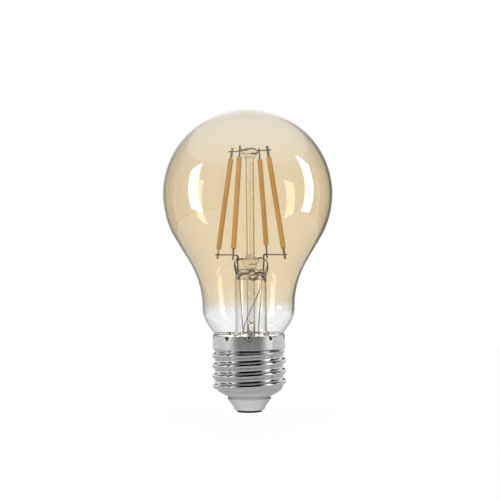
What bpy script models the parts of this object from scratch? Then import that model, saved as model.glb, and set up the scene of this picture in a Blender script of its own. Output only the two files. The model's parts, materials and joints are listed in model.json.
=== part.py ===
"""Smart LED-filament light bulb: an A60 glass envelope on an E27 screw cap.

The bulb stands on its centre contact. The origin is the middle of that contact's lower
face, +Z points up to the dome and the front is at -Y. Units are metres.
"""

import math

import bmesh
import bpy
from mathutils import Matrix, Vector

MM = 0.001

# Clearances between pieces that touch on the real lamp.
GAP = 0.3 * MM
WELD_GAP = 0.1 * MM

# Glass envelope: a globe, a cone tangent to it, a concave sweep into the neck, a convex
# shoulder, and a cone that dives into the cap and ends in a short straight seal.
OVERALL_HEIGHT = 107.0 * MM
GLOBE_RADIUS = 30.0 * MM
GLOBE_CENTRE_Z = OVERALL_HEIGHT - GLOBE_RADIUS
GLOBE_CONE_ANGLE = 31.0
GLOBE_CONE_DROP = 8.1 * MM
NECK_SWEEP_RADIUS = 32.0 * MM
SHOULDER_RADIUS = 11.5 * MM
SHOULDER_ANGLE = 34.0
SEAL_RADIUS = 11.3 * MM
SEAL_Z = 24.4 * MM
GLASS_WALL = 0.8 * MM
GLASS_SEGMENTS = 36

# Glass stem. Its axis sits a little to the right of the cap's.
STEM_OFFSET = 0.85 * MM
STEM_WALL = 0.8 * MM
FLARE_RADIUS = 5.35 * MM
FLARE_TOP_Z = 47.2 * MM
FLARE_SWEEP_RADIUS = 5.0 * MM
FLARE_SWEEP_ANGLE = 65.0
FLARE_SWEEP_Z = 29.8 * MM
FLARE_RIM_RADIUS = 9.35 * MM
PRESS_BOTTOM_Z = FLARE_TOP_Z + GAP
PRESS_TOP_Z = 54.2 * MM
EXHAUST_RADIUS = 1.2 * MM
EXHAUST_TIP_Z = 23.7 * MM
BLOW_HOLE_RADIUS = 0.9 * MM
BLOW_HOLE_Z = 49.2 * MM
POST_RADIUS = 1.35 * MM
THIN_WALL = 0.35 * MM
BUTTON_RADIUS = 2.9 * MM
BUTTON_BOTTOM_Z = 89.0 * MM
STEM_SEGMENTS = 20

# Wires.
WIRE_RADIUS = 0.22 * MM
MAINS_WIRE_RADIUS = 0.4 * MM
LEAD_SPREAD_FOOT = 3.95 * MM  # under the press
LEAD_SPREAD = 4.65 * MM  # over the press
TOP_WIRE_Z = 92.3 * MM
TOP_WIRE_REACH = 8.3 * MM
ARM_Z = 55.65 * MM
ARM_REACH = 14.0 * MM

# Filaments: four straight strips in a ring that widens downwards.
FILAMENT_TURN = -25.0
FILAMENT_TOP_Z = 89.75 * MM
FILAMENT_TOP_RING = 7.6 * MM
FILAMENT_FOOT_Z = 57.5 * MM
FILAMENT_FOOT_RING = 12.9 * MM
STRIP_TOP_Z = 93.7 * MM
STRIP_FOOT_Z = 54.1 * MM
STRIP_WIDTH = 1.0 * MM
STRIP_THICKNESS = 0.25 * MM
COAT_RADIUS = 0.875 * MM
# Name, quarter turns from the first filament, and how far its coat stops short at the foot.
FILAMENTS = (
    ("outer_right", 0, 0.5 * MM),
    ("inner_right", 1, 1.45 * MM),
    ("outer_left", 2, 0.3 * MM),
    ("inner_left", 3, 0.35 * MM),
)

# E27 cap: collar, rolled thread, bowl.
CAP_TOP_Z = 27.4 * MM
COLLAR_RADIUS = 12.95 * MM
COLLAR_FOOT_Z = 22.7 * MM
SHELL_WALL = 0.35 * MM
SHELL_SEGMENTS = 36
THREAD_PITCH = 25.4 / 7 * MM
THREAD_CREST_RADIUS = 13.1 * MM
THREAD_ROOT_RADIUS = 12.05 * MM
THREAD_TOP_Z = 21.45 * MM
THREAD_FOOT_Z = 9.85 * MM
THREAD_ROWS_PER_TURN = 6
THREAD_CREST_Z = 10.95 * MM  # height of a crest on the +X side
BOWL_SHOULDER_RADIUS = 3.2 * MM
BOWL_CONE_ANGLE = 60.0
SHELL_LIP_RADIUS = 7.65 * MM

# Foot of the cap.
INSULATOR_TOP_Z = 7.65 * MM
INSULATOR_RADIUS = 7.7 * MM
INSULATOR_SHOULDER_Z = 5.05 * MM
INSULATOR_FOOT_RADIUS = 4.95 * MM
INSULATOR_FOOT_Z = 0.75 * MM
CONTACT_RADIUS = 4.5 * MM
CONTACT_TOP_Z = 0.45 * MM

# Driver electronics inside the cap.
SLEEVE_INNER_RADIUS = 10.95 * MM
SLEEVE_OUTER_RADIUS = 11.35 * MM
SLEEVE_Z = (9.2 * MM, 21.0 * MM)
BOARD_SIZE = (19.6 * MM, 1.0 * MM, 14.3 * MM)
BOARD_CENTRE = (0.0, 1.2 * MM, 15.4 * MM)
RADIO_BOARD_SIZE = (15.0 * MM, 0.8 * MM, 13.4 * MM)
RADIO_BOARD_CENTRE = (0.0, 6.0 * MM, 15.9 * MM)

# Colour, roughness, metallic, transmission.
FINISHES = {
    "amber_glass": ((0.83, 0.62, 0.33), 0.03, 0.0, 1.0),
    "clear_glass": ((0.92, 0.90, 0.86), 0.03, 0.0, 1.0),
    "support_wire": ((0.42, 0.38, 0.32), 0.35, 1.0, 0.0),
    "strip_metal": ((0.55, 0.52, 0.47), 0.40, 1.0, 0.0),
    "phosphor": ((0.72, 0.36, 0.08), 0.60, 0.0, 0.0),
    "nickel": ((0.72, 0.71, 0.70), 0.22, 1.0, 0.0),
    "light_insulator": ((0.60, 0.61, 0.62), 0.50, 0.0, 0.0),
    "contact_metal": ((0.16, 0.15, 0.14), 0.45, 1.0, 0.0),
    "cement": ((0.74, 0.70, 0.62), 0.90, 0.0, 0.0),
    "sleeve_film": ((0.80, 0.80, 0.78), 0.45, 0.0, 0.0),
    "board_green": ((0.03, 0.22, 0.10), 0.45, 0.0, 0.0),
    "board_black": ((0.03, 0.03, 0.04), 0.40, 0.0, 0.0),
    "chip_black": ((0.02, 0.02, 0.02), 0.55, 0.0, 0.0),
    "tinned_can": ((0.70, 0.70, 0.70), 0.35, 1.0, 0.0),
    "capacitor_sleeve": ((0.05, 0.06, 0.10), 0.35, 0.0, 0.0),
    "resistor_body": ((0.30, 0.36, 0.24), 0.55, 0.0, 0.0),
    "ferrite": ((0.08, 0.08, 0.09), 0.70, 0.0, 0.0),
    "copper": ((0.72, 0.33, 0.14), 0.30, 1.0, 0.0),
    "link_plastic": ((0.04, 0.04, 0.04), 0.50, 0.0, 0.0),
    "wire_red": ((0.60, 0.05, 0.04), 0.50, 0.0, 0.0),
    "wire_white": ((0.78, 0.78, 0.76), 0.50, 0.0, 0.0),
}


# ---------------------------------------------------------------------------- helpers


def start_empty():
    """Remove the objects of the open scene and return the lamp's and the cutters' collections."""
    for old in list(bpy.data.objects):
        bpy.data.objects.remove(old, do_unlink=True)
    folders = []
    for name in ("smart_light_bulb", "cutters"):
        folder = bpy.data.collections.new(name)
        bpy.context.scene.collection.children.link(folder)
        folders.append(folder)
    return folders


LAMP, CUTTERS = start_empty()


def new_material(node, finish):
    colour, roughness, metallic, transmission = FINISHES[finish]
    surface = bpy.data.materials.new(f"{node}_{finish}")
    surface.use_nodes = True
    shader = surface.node_tree.nodes["Principled BSDF"]
    shader.inputs["Base Color"].default_value = (*colour, 1.0)
    shader.inputs["Roughness"].default_value = roughness
    shader.inputs["Metallic"].default_value = metallic
    shader.inputs["Transmission Weight"].default_value = transmission
    return surface


def add_part(node, data, finish, parent=None):
    """Put mesh or curve data in the lamp's collection, with a material of its own."""
    part = bpy.data.objects.new(node, data)
    LAMP.objects.link(part)
    data.materials.append(new_material(node, finish))
    part.parent = parent
    return part


def arc(centre_r, centre_z, radius, start, end, steps):
    """Points of (radius, z) on an arc, from start to end degrees."""
    points = []
    for step in range(steps + 1):
        angle = math.radians(start + (end - start) * step / steps)
        points.append((centre_r + radius * math.cos(angle), centre_z + radius * math.sin(angle)))
    return points


def turned(node, profile, finish, parent=None, segments=STEM_SEGMENTS, wall=0.0, closed=False):
    """Turn (radius, z) points about Z. The profile runs down its outer side.

    A closed profile comes back up the bore. An open one gets its wall on the inner side.
    """
    last = len(profile) - 1
    edges = [(i, i + 1) for i in range(last)]
    if closed:
        edges.append((last, 0))
    outline = bpy.data.meshes.new(node)
    outline.from_pydata([(r, 0.0, z) for r, z in profile], edges, [])
    part = add_part(node, outline, finish, parent)
    turn = part.modifiers.new("Turn", "SCREW")
    turn.steps = segments
    turn.render_steps = segments
    turn.use_merge_vertices = True
    turn.merge_threshold = 0.01 * MM
    turn.use_smooth_shade = True
    if wall:
        add_wall(part, wall)
    return part


def add_wall(part, thickness):
    shell = part.modifiers.new("Wall", "SOLIDIFY")
    shell.thickness = thickness
    shell.offset = -1.0


def wire(node, points, radius, finish, parent=None):
    """A round wire along points, with closed ends."""
    path = bpy.data.curves.new(node, "CURVE")
    path.dimensions = "3D"
    path.bevel_depth = radius
    path.bevel_resolution = 2
    path.use_fill_caps = True
    spline = path.splines.new("POLY")
    spline.points.add(len(points) - 1)
    for point, place in zip(spline.points, points):
        point.co = (*place, 1.0)
    return add_part(node, path, finish, parent)


def smooth_route(points, per_span=3):
    """Read a smooth curve through hand-set points given in millimetres."""
    places = [Vector(point) * MM for point in points]
    ends = [places[0] * 2 - places[1], *places, places[-1] * 2 - places[-2]]
    route = []
    for before, start, end, after in zip(ends, ends[1:], ends[2:], ends[3:]):
        for step in range(per_span):
            t = step / per_span
            straight = start + (end - start) * t
            bend_in = (end - before) / 2 - (end - start)
            bend_out = (after - start) / 2 - (end - start)
            curve = bend_in * t * (1 - t) ** 2 - bend_out * t**2 * (1 - t)
            route.append(straight + curve)
    route.append(places[-1])
    return route


def box_mesh(name, size):
    solid = bmesh.new()
    bmesh.ops.create_cube(solid, size=1.0)
    bmesh.ops.scale(solid, vec=Vector(size), verts=solid.verts)
    mesh = bpy.data.meshes.new(name)
    solid.to_mesh(mesh)
    solid.free()
    return mesh


def block(node, size, centre, finish, rounding=0.15 * MM, parent=None):
    """A box with slightly rounded edges."""
    part = add_part(node, box_mesh(node, size), finish, parent)
    part.location = centre
    edge = part.modifiers.new("Edges", "BEVEL")
    edge.width = rounding
    edge.segments = 2
    return part


def cutter(name, mesh, placing):
    tool = bpy.data.objects.new(name, mesh)
    CUTTERS.objects.link(tool)
    tool.matrix_world = placing
    tool.hide_render = True
    tool.display_type = "WIRE"
    return tool


def bore_cutter(name, radius, low, high, sides=12):
    """A cylinder from the point low to the point high, for cutting a hole."""
    low, high = Vector(low), Vector(high)
    solid = bmesh.new()
    length = (high - low).length
    bmesh.ops.create_cone(
        solid, cap_ends=True, segments=sides, radius1=radius, radius2=radius, depth=length
    )
    mesh = bpy.data.meshes.new(name)
    solid.to_mesh(mesh)
    solid.free()
    aim = (high - low).to_track_quat("Z", "Y").to_matrix().to_4x4()
    return cutter(name, mesh, Matrix.Translation((low + high) / 2) @ aim)


def combine(part, tool, operation):
    change = part.modifiers.new(operation.title(), "BOOLEAN")
    change.operation = operation
    change.object = tool


# ------------------------------------------------------------------------ glass parts


def envelope_profile():
    """The bulb's outer side, from the top of the dome down to the seal."""
    slope = math.radians(GLOBE_CONE_ANGLE)
    globe = arc(0.0, GLOBE_CENTRE_Z, GLOBE_RADIUS, 90.0, -GLOBE_CONE_ANGLE, 12)
    cone_r = globe[-1][0] - GLOBE_CONE_DROP * math.tan(slope)
    cone_z = globe[-1][1] - GLOBE_CONE_DROP
    neck_r = cone_r - NECK_SWEEP_RADIUS * (1 - math.cos(slope))
    neck_z = cone_z - NECK_SWEEP_RADIUS * math.sin(slope)
    sweep = arc(neck_r + NECK_SWEEP_RADIUS, neck_z, NECK_SWEEP_RADIUS, 180.0 - GLOBE_CONE_ANGLE, 180.0, 4)
    shoulder = arc(neck_r - SHOULDER_RADIUS, neck_z, SHOULDER_RADIUS, 0.0, -SHOULDER_ANGLE, 3)
    fall = (shoulder[-1][0] - SEAL_RADIUS) / math.tan(math.radians(SHOULDER_ANGLE))
    seal = [(SEAL_RADIUS, shoulder[-1][1] - fall), (SEAL_RADIUS, SEAL_Z)]
    # The dome's pole lies on the axis, exactly.
    return [(0.0, OVERALL_HEIGHT), *globe[1:], *sweep, *shoulder[1:], *seal]


def make_envelope():
    turned("glass_envelope", envelope_profile(), "amber_glass", segments=GLASS_SEGMENTS, wall=GLASS_WALL)


def make_flare(stem):
    """Straight tube whose foot opens out to the seal."""
    sweep_r = FLARE_RADIUS + FLARE_SWEEP_RADIUS
    sweep = arc(sweep_r, FLARE_SWEEP_Z, FLARE_SWEEP_RADIUS, 180.0, 180.0 + FLARE_SWEEP_ANGLE, 4)
    fall = (FLARE_RIM_RADIUS - sweep[-1][0]) / math.tan(math.radians(FLARE_SWEEP_ANGLE))
    rim = (FLARE_RIM_RADIUS, sweep[-1][1] - fall)
    profile = [(FLARE_RADIUS, FLARE_TOP_Z), *sweep, rim]
    turned("stem_flare", profile, "clear_glass", stem, segments=24, wall=STEM_WALL)


def press_section(height, half_width, half_depth, squareness, sides=24):
    """One level of the press: an ellipse pulled towards a rectangle."""
    ring = []
    for side in range(sides):
        angle = math.tau * side / sides
        across, along = math.cos(angle), math.sin(angle)
        reach = (abs(across) ** squareness + abs(along) ** squareness) ** (-1 / squareness)
        ring.append((half_width * reach * across, half_depth * reach * along, height))
    return ring


def make_press(stem):
    """Round where it meets the flare, squeezed flat above, with the lead and blow holes."""
    levels = (
        (PRESS_BOTTOM_Z, 5.3 * MM, 5.2 * MM, 2.0),
        (48.3 * MM, 5.25 * MM, 4.7 * MM, 2.2),
        (49.2 * MM, 5.3 * MM, 3.5 * MM, 2.4),
        (50.2 * MM, 5.55 * MM, 2.3 * MM, 2.8),
        (51.4 * MM, 5.8 * MM, 1.85 * MM, 3.0),
        (53.3 * MM, 5.9 * MM, 1.75 * MM, 3.0),
        (54.0 * MM, 5.7 * MM, 1.55 * MM, 3.0),
        (PRESS_TOP_Z, 5.3 * MM, 1.2 * MM, 3.0),
    )
    solid = bmesh.new()
    rings = [[solid.verts.new(place) for place in press_section(*level)] for level in levels]
    for lower, upper in zip(rings, rings[1:]):
        for i, corner in enumerate(lower):
            j = (i + 1) % len(lower)
            solid.faces.new((corner, lower[j], upper[j], upper[i]))
    solid.faces.new(reversed(rings[0]))
    solid.faces.new(rings[-1])
    mesh = bpy.data.meshes.new("stem_press")
    solid.to_mesh(mesh)
    solid.free()
    mesh.shade_smooth()
    press = add_part("stem_press", mesh, "clear_glass", stem)

    low, high = PRESS_BOTTOM_Z - 1 * MM, PRESS_TOP_Z + 1 * MM
    clear = WIRE_RADIUS + GAP
    for side, name in ((-1, "left"), (1, "right")):
        slope = (LEAD_SPREAD - LEAD_SPREAD_FOOT) / (PRESS_TOP_Z - PRESS_BOTTOM_Z)
        foot = (STEM_OFFSET + side * (LEAD_SPREAD_FOOT - slope * MM), 0, low)
        head = (STEM_OFFSET + side * (LEAD_SPREAD + slope * MM), 0, high)
        combine(press, bore_cutter(f"lead_hole_{name}", clear, foot, head), "DIFFERENCE")
    middle = (STEM_OFFSET, 0, BLOW_HOLE_Z)
    exhaust_bore = EXHAUST_RADIUS - THIN_WALL
    down = bore_cutter("exhaust_bore", exhaust_bore, (STEM_OFFSET, 0, low), middle)
    front = bore_cutter("blow_hole", BLOW_HOLE_RADIUS, (STEM_OFFSET, -8 * MM, BLOW_HOLE_Z), middle)
    combine(press, down, "DIFFERENCE")
    combine(press, front, "DIFFERENCE")


def make_exhaust_tube(stem):
    """Thin tube under the press, melted shut to a round tip."""
    tip = arc(0.0, EXHAUST_TIP_Z + EXHAUST_RADIUS, EXHAUST_RADIUS, 0.0, -90.0, 4)[:-1]
    profile = [(EXHAUST_RADIUS, FLARE_TOP_Z), *tip, (0.0, EXHAUST_TIP_Z)]
    turned("exhaust_tube", profile, "clear_glass", stem, segments=16, wall=THIN_WALL)


def make_post(stem):
    post = [(POST_RADIUS, BUTTON_BOTTOM_Z - GAP), (POST_RADIUS, PRESS_TOP_Z + GAP)]
    turned("stem_post", post, "amber_glass", stem, segments=16, wall=THIN_WALL)
    top_z = TOP_WIRE_Z - WIRE_RADIUS - GAP
    rim = 0.5 * MM
    crown = arc(BUTTON_RADIUS - rim, top_z - rim, rim, 90.0, -20.0, 3)
    waist = [(2.5 * MM, 90.5 * MM), (1.8 * MM, 89.6 * MM), (POST_RADIUS, BUTTON_BOTTOM_Z)]
    button = [(0.0, top_z), *crown, *waist, (0.0, BUTTON_BOTTOM_Z)]
    turned("post_button", button, "amber_glass", stem, segments=16)


# ------------------------------------------------------------------ filaments and wires


def filament_angle(quarter):
    return math.radians(FILAMENT_TURN + 90.0 * quarter)


def on_ring(angle, radius, height, aside=0.0):
    """A point at an angle and radius about the stem, moved aside along the ring."""
    across = Vector((math.cos(angle), math.sin(angle), 0.0)) * radius
    along = Vector((-math.sin(angle), math.cos(angle), 0.0)) * aside
    return across + along + Vector((0.0, 0.0, height))


def filament_ring(height):
    """Radius of the filament ring at a height."""
    share = (FILAMENT_TOP_Z - height) / (FILAMENT_TOP_Z - FILAMENT_FOOT_Z)
    return FILAMENT_TOP_RING + (FILAMENT_FOOT_RING - FILAMENT_TOP_RING) * share


def filament_place(quarter, low_z, high_z):
    """Length between two heights of a filament and the matrix that lays local Z along it."""
    aside = -(STRIP_THICKNESS / 2 + WIRE_RADIUS + WELD_GAP)
    angle = filament_angle(quarter)
    low = on_ring(angle, filament_ring(low_z), low_z, aside)
    high = on_ring(angle, filament_ring(high_z), high_z, aside)
    up = (high - low).normalized()
    thickness_way = Vector((-math.sin(angle), math.cos(angle), 0.0))
    width_way = thickness_way.cross(up)
    turn = Matrix((width_way, thickness_way, up)).transposed().to_4x4()
    return (high - low).length, Matrix.Translation((low + high) / 2) @ turn


def make_filament(name, quarter, short_foot, stem):
    """A metal-ended strip inside a round coat of phosphor, on one slanting line."""
    length, placing = filament_place(quarter, STRIP_FOOT_Z, STRIP_TOP_Z)
    strip = block(
        f"filament_strip_{name}", (STRIP_WIDTH, STRIP_THICKNESS, length), (0, 0, 0),
        "strip_metal", rounding=0.05 * MM, parent=stem,
    )
    strip.matrix_local = placing

    length, placing = filament_place(quarter, FILAMENT_FOOT_Z + short_foot, FILAMENT_TOP_Z)
    half = length / 2
    rounding = 0.3 * MM
    side = COAT_RADIUS - rounding / 2
    profile = (
        (0.0, half),
        (side, half),
        (COAT_RADIUS, half - rounding),
        (COAT_RADIUS, rounding - half),
        (side, -half),
        (0.0, -half),
    )
    coat = turned(f"filament_coat_{name}", profile, "phosphor", stem, segments=12)
    coat.matrix_local = placing
    slot_size = (STRIP_WIDTH + 2 * WELD_GAP, STRIP_THICKNESS + 2 * WELD_GAP, length + 2 * MM)
    shift = Matrix.Translation((STEM_OFFSET, 0, 0))
    slot = cutter(f"strip_slot_{name}", box_mesh("slot", slot_size), shift @ placing)
    combine(coat, slot, "DIFFERENCE")


def make_top_wires(stem):
    """Two wires that cross over the post. The one between the outer filaments humps over."""
    outer, inner = filament_angle(0), filament_angle(1)
    hump = TOP_WIRE_Z + 2 * WIRE_RADIUS + GAP
    shape = ((-1.0, 0.0), (-0.35, 0.0), (-0.14, 0.85), (0.0, 1.0), (0.14, 0.85), (0.35, 0.0), (1.0, 0.0))
    bridge = []
    for reach, lift in shape:
        height = TOP_WIRE_Z + (hump - TOP_WIRE_Z) * lift
        bridge.append(on_ring(outer, reach * TOP_WIRE_REACH, height) / MM)
    wire("top_bridge_wire", smooth_route(bridge), WIRE_RADIUS, "support_wire", stem)
    cross = [on_ring(inner, side * TOP_WIRE_REACH, TOP_WIRE_Z) for side in (-1, 1)]
    wire("top_cross_wire", cross, WIRE_RADIUS, "support_wire", stem)


def make_leads(stem):
    """Lead-in wires: driver board, flare, press, then an arm to the outer filament."""
    foot, head, arm_z = LEAD_SPREAD_FOOT / MM, LEAD_SPREAD / MM, ARM_Z / MM
    middle = (foot + head) / 2
    left = [
        (-6.9, 0.15, 20.8), (-6.7, 0.15, 22.4), (-5.1, 0.05, 25.2), (-3.15, 0.0, 28.5),
        (-3.2, 0.0, 33.0), (-3.5, 0.0, 38.0), (-3.8, 0.0, 43.0), (-foot + 0.05, 0.0, 46.5),
        (-middle, 0.0, 50.85), (-head, 0.0, 54.2), (-head, 0.05, 55.1), (-5.4, 0.6, arm_z),
    ]
    right = [
        (-4.3, 0.15, 20.8), (-4.2, 0.1, 22.6), (-3.6, -1.0, 25.5), (-2.7, -2.0, 28.5),
        (-2.3, -2.3, 30.6), (-0.26, -2.6, 35.9), (1.87, -2.0, 40.5), (3.4, -0.9, 44.0),
        (foot - 0.05, 0.0, 46.6), (middle, 0.0, 50.85), (head, 0.0, 54.2), (head, -0.05, 55.1),
        (5.4, -0.6, arm_z),
    ]
    for name, route, quarter in (("left", left, 2), ("right", right, 0)):
        angle = filament_angle(quarter)
        for reach in (ARM_REACH - 2.5 * MM, ARM_REACH):
            route.append(on_ring(angle, reach, ARM_Z) / MM)
        wire(f"lead_wire_{name}", smooth_route(route, 2), WIRE_RADIUS, "support_wire", stem)


def make_inner_arms(stem):
    """Arms from the leads to the inner filaments, each ending in a small hook."""
    beside_lead = 2 * WIRE_RADIUS + WELD_GAP
    for name, side, quarter in (("left", -1, 3), ("right", 1, 1)):
        angle = filament_angle(quarter)
        start = Vector((side * LEAD_SPREAD, side * beside_lead, ARM_Z - 0.5 * MM))
        route = [
            start,
            start + Vector((side * 0.05 * MM, side * 0.8 * MM, 0.35 * MM)),
            on_ring(angle, ARM_REACH - 2.5 * MM, ARM_Z),
            on_ring(angle, ARM_REACH - 0.3 * MM, ARM_Z),
            on_ring(angle, ARM_REACH, ARM_Z - 0.9 * MM),
        ]
        points = smooth_route([place / MM for place in route], 2)
        wire(f"filament_arm_{name}", points, WIRE_RADIUS, "support_wire", stem)


def make_antenna(stem):
    """Aerial wire from the radio board up the right side of the flare."""
    route = [
        (3.2, 5.05, 21.2), (3.2, 5.0, 22.8), (3.0, 3.4, 25.2), (2.75, 1.9, 28.5), (2.9, 1.2, 33.0),
        (3.3, 1.0, 36.5), (3.75, 0.95, 41.0), (3.85, 0.95, 44.0), (3.85, 0.95, 46.6),
    ]
    wire("antenna_wire", smooth_route(route, 2), WIRE_RADIUS, "copper", stem)


# ---------------------------------------------------------------------------- E27 cap


def thread_height(angle, z):
    """Height of the rolled E27 thread over its root. Crest and root are tangent arcs."""
    depth = THREAD_CREST_RADIUS - THREAD_ROOT_RADIUS
    rounding = (depth**2 + THREAD_PITCH**2 / 4) / (4 * depth)
    turns = (z - THREAD_CREST_Z) / THREAD_PITCH - angle / math.tau
    nearest = round(turns)
    off_crest = abs(turns - nearest) * THREAD_PITCH
    if off_crest < THREAD_PITCH / 4:
        height = depth - rounding + math.sqrt(rounding**2 - off_crest**2)
    else:
        off_root = THREAD_PITCH / 2 - off_crest
        height = rounding - math.sqrt(rounding**2 - off_root**2)
    # The ridge rises from nothing at its lower end and dies away under the collar.
    along = angle / math.tau + nearest
    rise = min(1.0, max(0.0, (along + 0.72) / 0.25))
    fall = min(1.0, max(0.0, (3.12 - along) / 0.22))
    return height * rise * fall


def shell_profile():
    """Outer side of the cap shell without its thread."""
    rows = round((THREAD_TOP_Z - THREAD_FOOT_Z) / THREAD_PITCH * THREAD_ROWS_PER_TURN)
    thread_zone = []
    for row in range(rows + 1):
        z = THREAD_TOP_Z + (THREAD_FOOT_Z - THREAD_TOP_Z) * row / rows
        thread_zone.append((THREAD_ROOT_RADIUS, z))
    centre_r = THREAD_ROOT_RADIUS - BOWL_SHOULDER_RADIUS
    shoulder = arc(centre_r, THREAD_FOOT_Z, BOWL_SHOULDER_RADIUS, 0.0, -BOWL_CONE_ANGLE, 5)[1:]
    fall = (shoulder[-1][0] - SHELL_LIP_RADIUS) / math.tan(math.radians(BOWL_CONE_ANGLE))
    lip = (SHELL_LIP_RADIUS, shoulder[-1][1] - fall)
    rim = 0.15 * MM
    collar = [
        (COLLAR_RADIUS - rim, CAP_TOP_Z),
        (COLLAR_RADIUS, CAP_TOP_Z - rim),
        (COLLAR_RADIUS, COLLAR_FOOT_Z),
        (COLLAR_RADIUS - 0.5 * MM, COLLAR_FOOT_Z - 0.65 * MM),
    ]
    return [*collar, *thread_zone, *shoulder, lip]


def make_screw_shell():
    """Thin rolled shell: the turned blank's points are moved out to form the thread."""
    shell = turned("screw_shell", shell_profile(), "nickel", segments=SHELL_SEGMENTS)
    view = bpy.context.evaluated_depsgraph_get()
    rolled = bpy.data.meshes.new_from_object(shell.evaluated_get(view))
    shell.modifiers.clear()
    shell.data = rolled
    for point in rolled.vertices:
        x, y, z = point.co
        if z > THREAD_TOP_Z + 0.1 * MM or z < THREAD_FOOT_Z - 1.4 * MM:
            continue
        radius = math.hypot(x, y)
        wanted = radius + thread_height(math.atan2(y, x), z)
        point.co = (x * wanted / radius, y * wanted / radius, z)
    add_wall(shell, SHELL_WALL)


def make_insulator():
    """Light cone with a flange held behind the shell's lip and a bore for the live wire."""
    neck = SHELL_LIP_RADIUS - GAP - 0.1 * MM
    bore, mouth = 0.9 * MM, 1.3 * MM
    profile = [
        (8.6 * MM, INSULATOR_TOP_Z),
        (8.6 * MM, 7.0 * MM),
        (neck, 6.2 * MM),
        (neck, INSULATOR_SHOULDER_Z + 0.05 * MM),
        (INSULATOR_RADIUS - 0.2 * MM, INSULATOR_SHOULDER_Z),
        (INSULATOR_RADIUS, INSULATOR_SHOULDER_Z - 0.25 * MM),
        (INSULATOR_FOOT_RADIUS + 0.15 * MM, INSULATOR_FOOT_Z + 0.55 * MM),
        (INSULATOR_FOOT_RADIUS - 0.05 * MM, INSULATOR_FOOT_Z + 0.15 * MM),
        (INSULATOR_FOOT_RADIUS - 0.3 * MM, INSULATOR_FOOT_Z),
        (bore, INSULATOR_FOOT_Z),
        (bore, INSULATOR_TOP_Z - 1.2 * MM),
        (mouth, INSULATOR_TOP_Z - 0.8 * MM),
        (mouth, INSULATOR_TOP_Z),
    ]
    turned("insulator", profile, "light_insulator", segments=32, closed=True)


def make_contact():
    edge = 0.2 * MM
    profile = [
        (0.0, CONTACT_TOP_Z),
        (CONTACT_RADIUS - edge, CONTACT_TOP_Z),
        (CONTACT_RADIUS, CONTACT_TOP_Z - edge),
        (CONTACT_RADIUS, edge),
        (CONTACT_RADIUS - edge, 0.0),
        (0.0, 0.0),
    ]
    turned("center_contact", profile, "contact_metal", segments=32)


def make_cement():
    """Ring that glues the neck into the collar, shaped to the glass on its inner side."""
    outer = COLLAR_RADIUS - SHELL_WALL - 0.35 * MM
    inner = SEAL_RADIUS + GAP
    low, bend, high = 24.0 * MM, 26.0 * MM, 26.4 * MM
    profile = [(outer, high), (outer, low), (inner, low), (inner, bend), (inner + GAP, high)]
    turned("cap_cement", profile, "cement", segments=32, closed=True)


# --------------------------------------------------------------------- driver electronics


def make_sleeve():
    low, high = SLEEVE_Z
    profile = [
        (SLEEVE_OUTER_RADIUS, high), (SLEEVE_OUTER_RADIUS, low),
        (SLEEVE_INNER_RADIUS, low), (SLEEVE_INNER_RADIUS, high),
    ]
    turned("insulating_sleeve", profile, "sleeve_film", segments=32, closed=True)


def make_boards():
    """Upright driver board across the middle and the radio board behind it."""
    block("driver_board", BOARD_SIZE, BOARD_CENTRE, "board_green", rounding=0.1 * MM)
    block("radio_board", RADIO_BOARD_SIZE, RADIO_BOARD_CENTRE, "board_black", rounding=0.1 * MM)
    block("radio_shield", (10.0 * MM, 1.6 * MM, 7.5 * MM), (0.0, 7.5 * MM, 14.5 * MM), "tinned_can")
    block("bridge_rectifier", (4.8 * MM, 1.6 * MM, 4.2 * MM), (5.2 * MM, 2.8 * MM, 11.6 * MM), "chip_black")
    block("driver_chip", (5.0 * MM, 1.4 * MM, 4.0 * MM), (-4.6 * MM, 2.7 * MM, 12.4 * MM), "chip_black")


def make_board_link():
    """Five-pin strip between the two boards, its pins joined to the plastic bar."""
    centre = Vector((0.0, 3.65 * MM, 19.6 * MM))
    link = block("board_link", (12.4 * MM, 1.4 * MM, 2.2 * MM), centre, "link_plastic")
    for pin in range(5):
        along = (pin - 2) * 2.54 * MM
        placing = Matrix.Translation(centre + Vector((along, 0.0, 0.0)))
        size = (0.64 * MM, 3.3 * MM, 0.64 * MM)
        combine(link, cutter(f"link_pin_{pin + 1}", box_mesh("pin", size), placing), "UNION")


def make_capacitor():
    """Smoothing capacitor: a can with a rolled groove near its foot."""
    radius, low, high = 4.0 * MM, 9.0 * MM, 20.4 * MM
    groove = low + 1.5 * MM
    edge = 0.4 * MM
    profile = [
        (0.0, high), (radius - edge, high), (radius, high - edge),
        (radius, groove + edge), (radius - edge, groove), (radius, groove - edge),
        (radius, low + edge), (radius - edge, low), (0.0, low),
    ]
    can = turned("bulk_capacitor", profile, "capacitor_sleeve", segments=24)
    can.location = (-4.9 * MM, -4.2 * MM, 0.0)


def make_inductor():
    """Drum core and the copper winding in its waist."""
    radius, waist, flange = 3.0 * MM, 1.5 * MM, 1.0 * MM
    low, high = 9.0 * MM, 17.0 * MM
    core = [
        (0.0, high), (radius, high), (radius, high - flange), (waist, high - flange),
        (waist, low + flange), (radius, low + flange), (radius, low), (0.0, low),
    ]
    coil_low, coil_high = low + flange + GAP, high - flange - GAP
    coil_inner, coil_outer = waist + GAP, radius - 0.2 * MM
    coil = [(coil_outer, coil_high), (coil_outer, coil_low), (coil_inner, coil_low), (coil_inner, coil_high)]
    pieces = (
        turned("inductor_core", core, "ferrite"),
        turned("inductor_winding", coil, "copper", closed=True),
    )
    for piece in pieces:
        piece.location = (5.4 * MM, -4.0 * MM, 0.0)


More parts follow.
